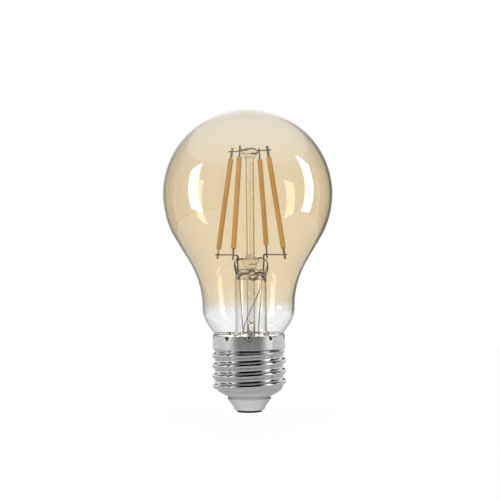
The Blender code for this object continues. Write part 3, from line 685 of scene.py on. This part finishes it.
def build_strip(look, name, quarter):
    """Flat strip with a waisted metal tab at each end."""
    length, place = filament_place(quarter, STRIP_FOOT, STRIP_TOP)
    half = length / 2
    tab = [(-half, 0.34, 0.1), (-half + 0.12, 0.44, 0.13), (-half + 1.0, 0.46, 0.13),
           (-half + 1.25, 0.36, 0.13), (-half + 1.55, 0.36, 0.13), (-half + 1.8, 0.5, 0.13)]
    middle = [(z, STRIP_HALF_WIDTH, STRIP_HALF_THICK) for z in np.linspace(-half + 3.5, half - 3.5, 6)]
    other_tab = [(-z, wide, thick) for z, wide, thick in reversed(tab)]
    strip = Shape().slab([*tab, *middle, *other_tab], place)
    strip.piece(f"strip_{name}", look, "strip_metal", [f"filament_strip_{name}"])


def build_filaments():
    coat, metal = coat_look(), metal_look("strip_metal", (0.36, 0.33, 0.28), 0.36)
    for name, quarter, short in FILAMENTS:
        build_coat(coat, name, quarter, short)
        build_strip(metal, name, quarter)


def weld(shape, quarter, reach, height, size):
    """A bead that joins a wire to the strip of the filament at that quarter turn."""
    shape.bead(on_ring(filament_angle(quarter), reach, height, WELD_ASIDE), size)


def build_top_wires(metal):
    """Two wires that cross over the post. The one between the outer filaments humps over."""
    angle = filament_angle(0)
    hump = 2 * WIRE_R + 0.3
    bridge = [
        on_ring(angle, reach * TOP_WIRE_REACH, TOP_WIRE_Z + hump * lift)
        for reach, lift in ((-1, 0), (-0.7, 0.04), (-0.38, 0), (-0.3, 0.35), (-0.22, 0.9), (0, 1),
                            (0.22, 0.9), (0.3, 0.35), (0.38, 0), (0.7, -0.03), (1, 0))
    ]
    shape = Shape().tube(smooth_route(bridge, 5), WIRE_R)
    for quarter in (0, 2):
        weld(shape, quarter, TOP_WELD_REACH, TOP_WIRE_Z, (0.36, 0.3, 0.3))
    shape.piece("bridge_wire", metal, "support_wire", ["top_bridge_wire"])

    angle = filament_angle(1)
    cross = [
        on_ring(angle, reach, TOP_WIRE_Z - 0.03 * abs(reach % 3))
        for reach in np.linspace(-TOP_WIRE_REACH, TOP_WIRE_REACH, 12)
    ]
    shape = Shape().tube(smooth_route(cross, 3), WIRE_R)
    for quarter in (1, 3):
        weld(shape, quarter, TOP_WELD_REACH, TOP_WIRE_Z, (0.36, 0.3, 0.3))
    shape.piece("cross_wire", metal, "support_wire", ["top_cross_wire"])


def build_leads(metal):
    """Thin copper from the driver, a thicker seal wire through the press, then an arm."""
    middle = (LEAD_LOW + LEAD_HIGH) / 2
    left = [
        (-6.9, 0.15, 20.8), (-6.7, 0.15, 22.4), (-5.1, 0.05, 25.2), (-3.15, 0.0, 28.5),
        (-3.2, 0.0, 33.0), (-3.5, 0.0, 38.0), (-3.8, 0.0, 43.0), (-LEAD_LOW + 0.05, 0.0, 46.5),
        (-middle, 0.0, 50.85), (-LEAD_HIGH, 0.0, 54.2), (-LEAD_HIGH, 0.05, 55.1), (-5.4, 0.6, ARM_Z),
    ]
    right = [
        (-4.3, 0.15, 20.8), (-4.2, 0.1, 22.6), (-3.6, -1.0, 25.5), (-2.7, -2.0, 28.5),
        (-2.3, -2.3, 30.6), (-0.26, -2.6, 35.9), (1.87, -2.0, 40.5), (3.4, -0.9, 44.0),
        (LEAD_LOW - 0.05, 0.0, 46.6), (middle, 0.0, 50.85), (LEAD_HIGH, 0.0, 54.2),
        (LEAD_HIGH, -0.05, 55.1), (5.4, -0.6, ARM_Z),
    ]
    for name, route, quarter in (("left", left, 2), ("right", right, 0)):
        angle = filament_angle(quarter)
        arm = [tuple(on_ring(angle, reach, ARM_Z)) for reach in (ARM_REACH - 2.5, ARM_REACH)]
        path = smooth_route([*on_stem(route), *arm], 5)
        radii = [WIRE_R * (0.72 if z < 46.0 else 1.2 if z < 54.6 else 1.0) for _, _, z in path]
        shape = Shape().tube(path, radii)
        weld(shape, quarter, ARM_WELD_REACH, ARM_Z, (0.38, 0.32, 0.32))
        shape.piece(f"lead_{name}", metal, "support_wire", [f"lead_wire_{name}"])


def build_arms(metal):
    """Short wires from the leads to the inner filaments, each ending in a small hook."""
    beside = 2 * WIRE_R + WIRE_GAP
    for name, side, quarter in (("left", -1, 3), ("right", 1, 1)):
        angle = filament_angle(quarter)
        start = Vector((STEM_X + side * LEAD_HIGH, side * beside, ARM_Z - 0.5))
        route = [
            start, start + Vector((side * 0.05, side * 0.8, 0.35)), on_ring(angle, ARM_REACH - 2.5, ARM_Z),
            on_ring(angle, ARM_REACH - 0.3, ARM_Z), on_ring(angle, ARM_REACH, ARM_Z - 0.9),
        ]
        shape = Shape().tube(smooth_route(route, 6), WIRE_R)
        shape.bead(start, (0.36, 0.4, 0.45))
        weld(shape, quarter, ARM_WELD_REACH, ARM_Z, (0.36, 0.32, 0.32))
        shape.piece(f"arm_{name}", metal, "support_wire", [f"filament_arm_{name}"])


def build_aerial():
    """Aerial wire from the radio board up the right side of the flare."""
    route = on_stem([
        (3.2, 5.05, 21.2), (3.2, 5.0, 22.8), (3.0, 3.4, 25.2), (2.75, 1.9, 28.5), (2.9, 1.2, 33.0),
        (3.3, 1.0, 36.5), (3.75, 0.95, 41.0), (3.85, 0.95, 44.0), (3.85, 0.95, 46.6),
    ])
    copper = metal_look("aerial_copper", (0.20, 0.16, 0.13), 0.5)
    Shape().tube(smooth_route(route, 5), 0.75 * WIRE_R).piece("aerial", copper, "copper", ["antenna_wire"])


def build_wires():
    metal = metal_look("support_wire", (0.24, 0.21, 0.18), 0.5)
    build_top_wires(metal)
    build_leads(metal)
    build_arms(metal)
    build_aerial()


def thread_rise(angle, z):
    """Height of the rolled thread over its root: crest and root are tangent arcs."""
    depth = CREST_R - ROOT_R
    rounding = (depth**2 + PITCH**2 / 4) / (4 * depth)
    turns = (z - CREST_Z) / PITCH - angle / math.tau
    nearest = np.round(turns)
    off_crest = np.abs(turns - nearest) * PITCH
    off_root = PITCH / 2 - off_crest
    crest = depth - rounding + np.sqrt(np.maximum(rounding**2 - off_crest**2, 0))
    root = rounding - np.sqrt(np.maximum(rounding**2 - off_root**2, 0))
    turn = angle / math.tau + nearest
    rise = np.clip((turn - THREAD_START) / RUN_IN, 0, 1)
    fall = np.clip((THREAD_END - turn) / RUN_OUT, 0, 1)
    return np.where(off_crest < PITCH / 4, crest, root) * rise * fall


def cap_profile():
    """Outer side of the cap without its thread, from the rim to the bowl's lip."""
    rim = arc(COLLAR_R - 0.3, CAP_TOP - 0.3, 0.3, 100.0, 0.0, 4)
    fold = arc(COLLAR_R - 0.25, COLLAR_FOOT, 0.25, 0.0, -45.0, 3)
    shoulder = arc(ROOT_R - BOWL_R, THREAD_FOOT, BOWL_R, 0.0, -BOWL_ANGLE, 24)[1:]
    fall = (shoulder[-1][0] - LIP_R) / math.tan(math.radians(BOWL_ANGLE))
    lip = (LIP_R, shoulder[-1][1] - fall)
    return np.array([
        *rim, *along([(COLLAR_R, CAP_TOP - 0.4), (COLLAR_R, COLLAR_FOOT + 0.1)], 0.16), *fold,
        *along([(COLLAR_R - 0.5, COLLAR_FOOT - 0.5), (ROOT_R + 0.1, COLLAR_FOOT - 1.0)], 0.2),
        *along([(ROOT_R, THREAD_TOP), (ROOT_R, THREAD_FOOT)], 0.14),
        *shoulder, *along([shoulder[-1], lip], 0.5)[1:],
    ])


def crimp_depth(angle, z):
    """How deep the cap is punched: small triangles, point down, in a ring under the rim."""
    step = math.tau / CRIMPS
    across = ((angle + math.pi / 2 + step / 2) % step - step / 2) * COLLAR_R
    below = (CAP_TOP - 0.2) - z
    half = np.clip(CRIMP_HALF_WIDTH - CRIMP_SLOPE * below, 0.0, CRIMP_HALF_WIDTH)
    inside = np.clip((half - np.abs(across)) / 0.3, 0, 1) * np.clip(below / 0.25, 0, 1)
    return CRIMP_DEPTH * inside * (z > COLLAR_FOOT)


def nickel_look():
    """Polished thread, satin collar and bowl with spun lines, and painted shade in the crimp marks."""
    look = Look("nickel_plate", Metallic=1.0, IOR=1.5)
    x, y, height = look.axes()
    spun = look.noise(0.16, 4.0, 0.65, vector=look.round_axis(0.06))
    spots = look.noise(1.8, 4.0, 0.6)
    polished = look.sums(
        "MULTIPLY",
        look.ranged(height, 8.2 * MM, 9.2 * MM),
        look.ranged(height, 21.6 * MM, 22.4 * MM, 1.0, 0.0),
    )
    satin = look.ranged(spun, 0.3, 0.7, 0.24, 0.32)
    bright = look.ranged(spots, 0.3, 0.7, 0.07, 0.13)
    rough = look.sums("ADD", look.sums("MULTIPLY", polished, bright),
                      look.sums("MULTIPLY", look.sums("SUBTRACT", 1.0, polished), satin))
    tone = look.mix(look.ranged(spots, 0.3, 0.7), (0.76, 0.755, 0.75), (0.68, 0.675, 0.665))
    tone = look.mix(look.ranged(spun, 0.55, 0.75, 0.0, 0.25), tone, (0.58, 0.575, 0.57))
    # Painted shade: near-black base colour in the triangular crimp marks, so that the dents read dark.
    angle = look.sums("ADD", look.sums("ARCTAN2", y, x), math.pi / 2 + math.tau)
    across = look.sums("MULTIPLY", look.sums("PINGPONG", angle, math.pi / CRIMPS), COLLAR_R)
    half = look.ranged(height, (CAP_TOP - 1.75) * MM, (CAP_TOP - 0.3) * MM, 0.0, 0.85, smooth=False)
    crimp_shade = look.ranged(look.sums("SUBTRACT", half, across), 0.0, 0.3)
    tone = look.mix(look.sums("MULTIPLY", crimp_shade, 0.85), tone, (0.06, 0.06, 0.06))
    look.set(Base_Color=tone, Roughness=rough, Normal=look.bump(spun, 0.008))
    return look.material


def build_cap():
    """Collar, rolled thread and bowl, from one thin sheet."""
    segments = 220
    profile = cap_profile()
    turn = np.arange(segments) * math.tau / segments
    radius = np.repeat(profile[:, 0:1], segments, 1)
    z = np.repeat(profile[:, 1:2], segments, 1)
    angle = np.repeat(((turn + math.pi) % math.tau - math.pi)[None, :], len(profile), 0)
    threaded = (z < THREAD_TOP + 0.1) & (z > THREAD_FOOT - 1.4)
    radius = np.where(threaded, radius + thread_rise(angle, z), radius)
    radius = radius - crimp_depth(angle, z)

    def skin(rad):
        return np.stack((rad * np.cos(turn), rad * np.sin(turn), z), 2)

    shape = Shape().loft(np.concatenate((skin(radius), skin(radius - SHEET)[::-1])), closed=True)
    shape.piece("cap_shell", nickel_look(), "nickel", ["screw_shell"], smooth_below=50)


def build_insulator():
    """Light cone with a flange behind the shell's lip and a bore for the live wire."""
    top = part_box("insulator")[1].z / MM
    body = [
        (8.6, top), *arc(8.4, 7.2, 0.2, 0.0, -60.0, 3), (7.3, 6.2), (7.25, 5.15),
        *arc(7.7 - 0.35, 4.75, 0.35, 75.0, -20.0, 5),
        *along([(7.6, 4.5), (5.6, 1.75)], 0.3), *arc(4.9, 1.35, 0.6, 20.0, -90.0, 6)[1:],
        (0.9, 0.75), (0.9, 6.45), (1.3, 6.85), (1.3, top),
    ]
    look = plain_look("insulator_glass", (0.66, 0.665, 0.67), 0.42, grain=0.5, vary=0.08, bump=0.01)
    Shape().turned(body, 96, closed=True).piece("insulator_cone", look, "light_insulator", ["insulator"])


def build_contact():
    """Dark disc with a round edge and the solder where the live wire ends."""
    disc = [
        (0.0, 0.45), (4.2, 0.45), *arc(4.3, 0.25, 0.2, 90.0, 0.0, 4), *arc(4.3, 0.2, 0.2, 0.0, -90.0, 5),
        (2.9, 0.0), (2.5, 0.05), (2.0, 0.07), (0.0, 0.07),
    ]
    metal = metal_look("contact_metal", (0.13, 0.125, 0.12), 0.45, drawn=0.3)
    shape = Shape().turned(disc, 72)
    shape.bead((0.15, -0.1, 0.14), (1.25, 1.15, 0.14), sides=24)
    shape.piece("contact_disc", metal, "contact_metal", ["center_contact"])


def board_look():
    """Green solder resist over woven glass, with paler tracks."""
    look = Look("board_green")
    weave = look.noise(0.35, 3.0)
    tracks = look.node("ShaderNodeTexBrick", (
        ("Vector", look.places), ("Scale", 420.0), ("Mortar Size", 0.012),
        ("Color1", (0.02, 0.16, 0.07)), ("Color2", (0.03, 0.20, 0.09)), ("Mortar", (0.06, 0.30, 0.14)),
    )).outputs[0]
    look.set(Base_Color=look.mix(look.ranged(weave, 0.4, 0.7, 0.0, 0.4), tracks, (0.02, 0.13, 0.06)),
             Roughness=look.ranged(weave, 0.3, 0.7, 0.3, 0.5), Normal=look.bump(weave, 0.02))
    return look.material


def dress_cad():
    """Procedural finishes for the CAD nodes that stay as they are, all inside the cap."""
    looks = {
        "board_green": board_look(),
        "board_black": plain_look("board_black", (0.03, 0.03, 0.035), 0.38, vary=0.3),
        "chip_black": plain_look("chip_epoxy", (0.02, 0.02, 0.02), 0.55, grain=0.2, vary=0.3, bump=0.03),
        "tinned_can": metal_look("tinned_can", (0.70, 0.70, 0.69), 0.32),
        "link_plastic": plain_look("link_plastic", (0.035, 0.035, 0.035), 0.5, vary=0.25),
        "capacitor_sleeve": plain_look("capacitor_sleeve", (0.05, 0.06, 0.10), 0.35, vary=0.2),
        "ferrite": plain_look("ferrite", (0.08, 0.08, 0.09), 0.7, grain=0.15, vary=0.25, bump=0.05),
        "copper": metal_look("winding_copper", (0.70, 0.32, 0.14), 0.32, drawn=0.12),
        "resistor_body": plain_look("resistor_lacquer", (0.30, 0.36, 0.24), 0.5, vary=0.2),
        "wire_red": plain_look("wire_red", (0.60, 0.05, 0.04), 0.45, vary=0.15),
        "wire_white": plain_look("wire_white", (0.76, 0.76, 0.74), 0.45, vary=0.08),
        "cement": plain_look("cement", (0.84, 0.84, 0.83), 0.85, grain=0.3, vary=0.08, bump=0.04),
        "sleeve_film": plain_look("sleeve_film", (0.80, 0.80, 0.78), 0.42, vary=0.06),
    }
    slots = {row["node"]: row["material_slot"] for row in frame["record"]["subparts"]}
    for node, slot in slots.items():
        part = frame["nodes"][node]
        if part.hide_render or slot not in looks:
            continue
        part.data.materials.clear()
        part.data.materials.append(looks[slot])


# --------------------------------------------------------------------------- the studio


def only_for(light, names):
    """Let a light reach nothing but the pieces whose names start so."""
    lit = bpy.data.collections.new(light.name)
    for piece in bpy.context.scene.objects:
        if piece.name.startswith(names):
            lit.objects.link(piece)
    light.light_linking.receiver_collection = lit


def faint_when_deep(look, glow):
    """A glow that counts for less in reflections from the far side of the bulb."""
    refractions = look.node("ShaderNodeLightPath").outputs["Transmission Depth"]
    deep = look.sums("GREATER_THAN", refractions, 2.5)
    return look.sums("MULTIPLY_ADD", deep, -0.62 * glow, glow)


def glowing_sheet(name, points, faces, glow, names):
    """A soft light for some pieces, as bright as the backdrop where it is seen through glass.

    glow is a function of the look that gives a socket.
    """
    mesh = bpy.data.meshes.new(name)
    mesh.from_pydata([tuple(point) for point in points], [], faces)
    look = Look(name)
    strength = look.blend(look.seen_plainly(), glow(look), BACKDROP)
    lit = look.node("ShaderNodeEmission", ((1, strength),))
    look.tree.links.new(lit.outputs[0], look.output.inputs["Surface"])
    mesh.materials.append(look.material)
    sheet = bpy.data.objects.new(name, mesh)
    bpy.context.scene.collection.objects.link(sheet)
    sheet.visible_camera = sheet.visible_shadow = False
    sheet.visible_transmission = "bulb_glass" in names
    only_for(sheet, names)


def window(name, corners, glow):
    """A light sheet mirrored in the globe between given azimuths and elevations."""
    eye = bpy.context.scene.camera.matrix_world.translation
    centre = Vector((0.0, 0.0, TOP - GLOBE_R)) * MM
    points = []
    for turn, slope in corners:
        a, e = math.radians(turn), math.radians(slope)
        normal = Vector((math.sin(a) * math.cos(e), -math.cos(a) * math.cos(e), math.sin(e)))
        spot = centre + normal * GLOBE_R * MM
        sight = (eye - spot).normalized()
        points.append(spot + (2 * normal.dot(sight) * normal - sight) * WINDOW_REACH)
    glowing_sheet(name, points, [(0, 1, 2, 3)], lambda look: faint_when_deep(look, glow), ("bulb_glass",))


def azimuth(look):
    """Angle from the front, the same to either side."""
    x, y, _ = look.axes()
    return look.sums("ARCTAN2", look.sums("ABSOLUTE", x), look.sums("MULTIPLY", y, -1.0))


def turned_on(look, angle, start, end):
    """Rises from 0 to 1 between two angles in degrees."""
    return look.ranged(angle, math.radians(start), math.radians(end))


def turned_off(look, angle, start, end):
    """Falls from 1 to 0 between two angles in degrees."""
    return look.ranged(angle, math.radians(start), math.radians(end), 1.0, 0.0)


def cap_glow(look):
    """Dark in front, a bright patch, then even, but for a dark flag high up at the side."""
    angle = azimuth(look)
    even = look.ranged(angle, math.radians(30.0), math.radians(62.0), 0.0, 0.86)
    patch = look.sums("MULTIPLY", turned_on(look, angle, 52.0, 60.0), turned_off(look, angle, 72.0, 82.0))
    glow = look.sums("MULTIPLY_ADD", patch, 0.7, even)
    flag = look.sums("MULTIPLY", turned_on(look, angle, 88.0, 94.0), turned_off(look, angle, 122.0, 130.0))
    flag = look.sums("MULTIPLY", flag, look.ranged(look.axes()[2], 0.06, 0.07))
    return look.sums("MULTIPLY", glow, look.sums("MULTIPLY_ADD", flag, -0.85, 1.0))


def bulb_glow(look):
    """Even in front and overhead, dimmer at the sides, most of all on the right, full behind."""
    x, _, height = look.axes()
    angle = azimuth(look)
    side = look.ranged(x, -0.1, 0.1, 0.55, 0.28)
    around = look.blend(turned_on(look, angle, 95.0, 115.0), 0.6, side)
    around = look.blend(turned_on(look, angle, 162.0, 168.0), around, BACKDROP)
    return look.blend(look.ranged(height, 0.15, 0.40), around, 0.82)


def wing(name, angles, rows, glow, names):
    """A curved reflector round part of the lamp. rows are (radius, height) in turn."""
    columns = 49
    turn = np.radians(np.linspace(*angles, columns))
    points = [(reach * math.sin(a), -reach * math.cos(a), z) for reach, z in rows for a in turn]
    faces = [
        (row + i, row + i + 1, row + i + columns + 1, row + i + columns)
        for row in range(0, columns * (len(rows) - 1), columns) for i in range(columns - 1)
    ]
    glowing_sheet(name, points, faces, glow, names)


def fill_light(name, place, aim_height, energy, names):
    """Soft light on the lamp's axis at a height, for what the studio leaves dark."""
    data = bpy.data.lights.new(name, "AREA")
    data.energy, data.size = energy, FILL_SIZE
    lamp = bpy.data.objects.new(name, data)
    bpy.context.scene.collection.objects.link(lamp)
    place, aim = Vector(place), Vector((0.0, 0.0, aim_height))
    turn = (aim - place).to_track_quat("-Z", "Y").to_matrix().to_4x4()
    lamp.matrix_world = Matrix.Translation(place) @ turn
    lamp.visible_camera = lamp.visible_glossy = lamp.visible_transmission = False
    only_for(lamp, names)


def build_world():
    """Pale wherever it is seen plainly, a studio with a lit back, top and floor in reflections."""
    world = bpy.data.worlds.new("studio")
    bpy.context.scene.world = world
    world.use_nodes = True
    graph = Graph(world.node_tree)
    graph.tree.nodes.clear()
    sums, ranged = graph.sums, graph.ranged
    x, y, z = graph.axes(graph.node("ShaderNodeTexCoord").outputs["Generated"])
    level = sums("SQRT", sums("SUBTRACT", 1.0, sums("MULTIPLY", z, z)))
    ahead = sums("DIVIDE", y, sums("MAXIMUM", level, 0.01))
    backdrop = ranged(ahead, 0.955, 0.985, 0.0, BACKDROP)
    front = ranged(y, -0.6, 0.1, 0.05, 1.0)
    above = ranged(sums("MULTIPLY_ADD", front, 0.25, z), 0.60, 0.95, 0.0, 1.05)
    below = ranged(z, -0.35, -0.12, 1.0, 0.0)
    dark = sums("MULTIPLY", ranged(x, -0.5, 0.5, 0.14, 0.08), front)
    studio = sums("MAXIMUM", sums("MAXIMUM", backdrop, above), sums("MAXIMUM", below, dark))
    strength = graph.blend(graph.seen_plainly(), studio, BACKDROP)
    glow = graph.node("ShaderNodeBackground", (("Color", (1.0, 1.0, 1.0)), ("Strength", strength)))
    output = graph.node("ShaderNodeOutputWorld")
    graph.tree.links.new(glow.outputs[0], output.inputs["Surface"])
    world.cycles.sampling_method = "MANUAL"
    world.cycles.sample_map_resolution = 512


def build_floor():
    """A round sheet of pale paper, helped by a glow that is fainter in reflections."""
    mesh = bpy.data.meshes.new("floor")
    sides = 128
    turn = [math.tau * i / sides for i in range(sides)]
    rim = [(FLOOR_R * math.cos(a), FLOOR_R * math.sin(a), 0.0) for a in turn]
    mesh.from_pydata(rim, [], [tuple(range(sides))])
    look = Look("floor_paper", Roughness=0.9, Specular_IOR_Level=0.0, Emission_Color=(1.0, 1.0, 1.0, 1.0))
    fibre = look.noise(1.5, 4.0)
    look.set(Base_Color=look.mix(fibre, (0.78, 0.78, 0.78), (0.80, 0.80, 0.80)),
             Emission_Strength=look.blend(look.seen_plainly(), 0.42, 0.90))
    mesh.materials.append(look.material)
    floor = bpy.data.objects.new("floor", mesh)
    bpy.context.scene.collection.objects.link(floor)


def build_camera():
    """Level with the middle of the lamp and nearly head on."""
    data = bpy.data.cameras.new("camera")
    data.sensor_width = 36.0
    data.lens = 91.5
    data.clip_start, data.clip_end = 0.01, 10.0
    camera = bpy.data.objects.new("camera", data)
    bpy.context.scene.collection.objects.link(camera)
    place = Vector((0.67, -450.0, 60.0)) * MM
    target = Vector((0.67, 0.0, 57.2)) * MM
    aim = (target - place).to_track_quat("-Z", "Y").to_matrix().to_4x4()
    camera.matrix_world = Matrix.Translation(place) @ aim @ Matrix.Rotation(math.radians(-0.5), 4, "Z")
    bpy.context.scene.camera = camera


def build_lights():
    """Windows that the globe mirrors, reflectors for the cap, a screen for the bulb, and fills."""
    window("left_window", ((-32.1, 18.8), (-40.4, 13.8), (-39.8, -10.4), (-31.1, -13.3)), 17.0)
    window("right_window", ((36.5, 24.0), (45.9, 17.3), (45.5, -13.6), (38.2, -13.3)), 17.0)
    for name, angles, top in (
        ("left_wing", (-28.0, -150.0), WING_TOP),
        ("right_wing", (28.0, 150.0), WING_TOP),
        ("back_strip", (150.0, 210.0), BACK_STRIP_TOP),
    ):
        wing(name, angles, ((WING_R, WING_FOOT), (WING_R, top)), cap_glow, ("cap_shell",))
    wing("bulb_screen", (-180.0, 180.0), SCREEN, bulb_glow, ("bulb_glass",))
    shown_cad = tuple(node for node, part in frame["nodes"].items() if not part.hide_render)
    for name, place, aim_height, energy, names in (
        ("front_fill", (-0.05, -0.40, 0.16), 0.07, 1.9, ("coat_",)),
        ("rear_fill", (0.05, 0.40, 0.16), 0.07, 1.9, ("coat_",)),
        ("right_fill", (0.40, 0.0, 0.16), 0.07, 0.5, ("coat_",)),
        ("left_fill", (-0.40, 0.0, 0.16), 0.07, 0.5, ("coat_",)),
        ("seal_fill", (0.0, -0.30, 0.20), 0.027, 3.0, ("cap_cement",)),
        ("foot_fill", (-0.03, -0.35, 0.02), 0.004, 1.35, ("insulator_cone",)),
        ("top_fill", (0.0, -0.05, 0.45), 0.02, 3.0, shown_cad),
    ):
        fill_light(name, place, aim_height, energy, names)


def set_light_paths(scene):
    """Enough bounces for five walls of glass one behind another."""
    scene.view_settings.view_transform = "Standard"
    cycles = scene.cycles
    cycles.max_bounces = 36
    cycles.transmission_bounces = 30
    cycles.glossy_bounces = 12
    cycles.diffuse_bounces = 3
    cycles.transparent_max_bounces = 24
    cycles.caustics_refractive = False
    cycles.caustics_reflective = False
    cycles.use_denoising = True


build_bulb()
build_stem()
build_filaments()
build_wires()
build_cap()
build_insulator()
build_contact()
dress_cad()

build_world()
build_floor()
build_camera()
build_lights()
set_light_paths(bpy.context.scene)
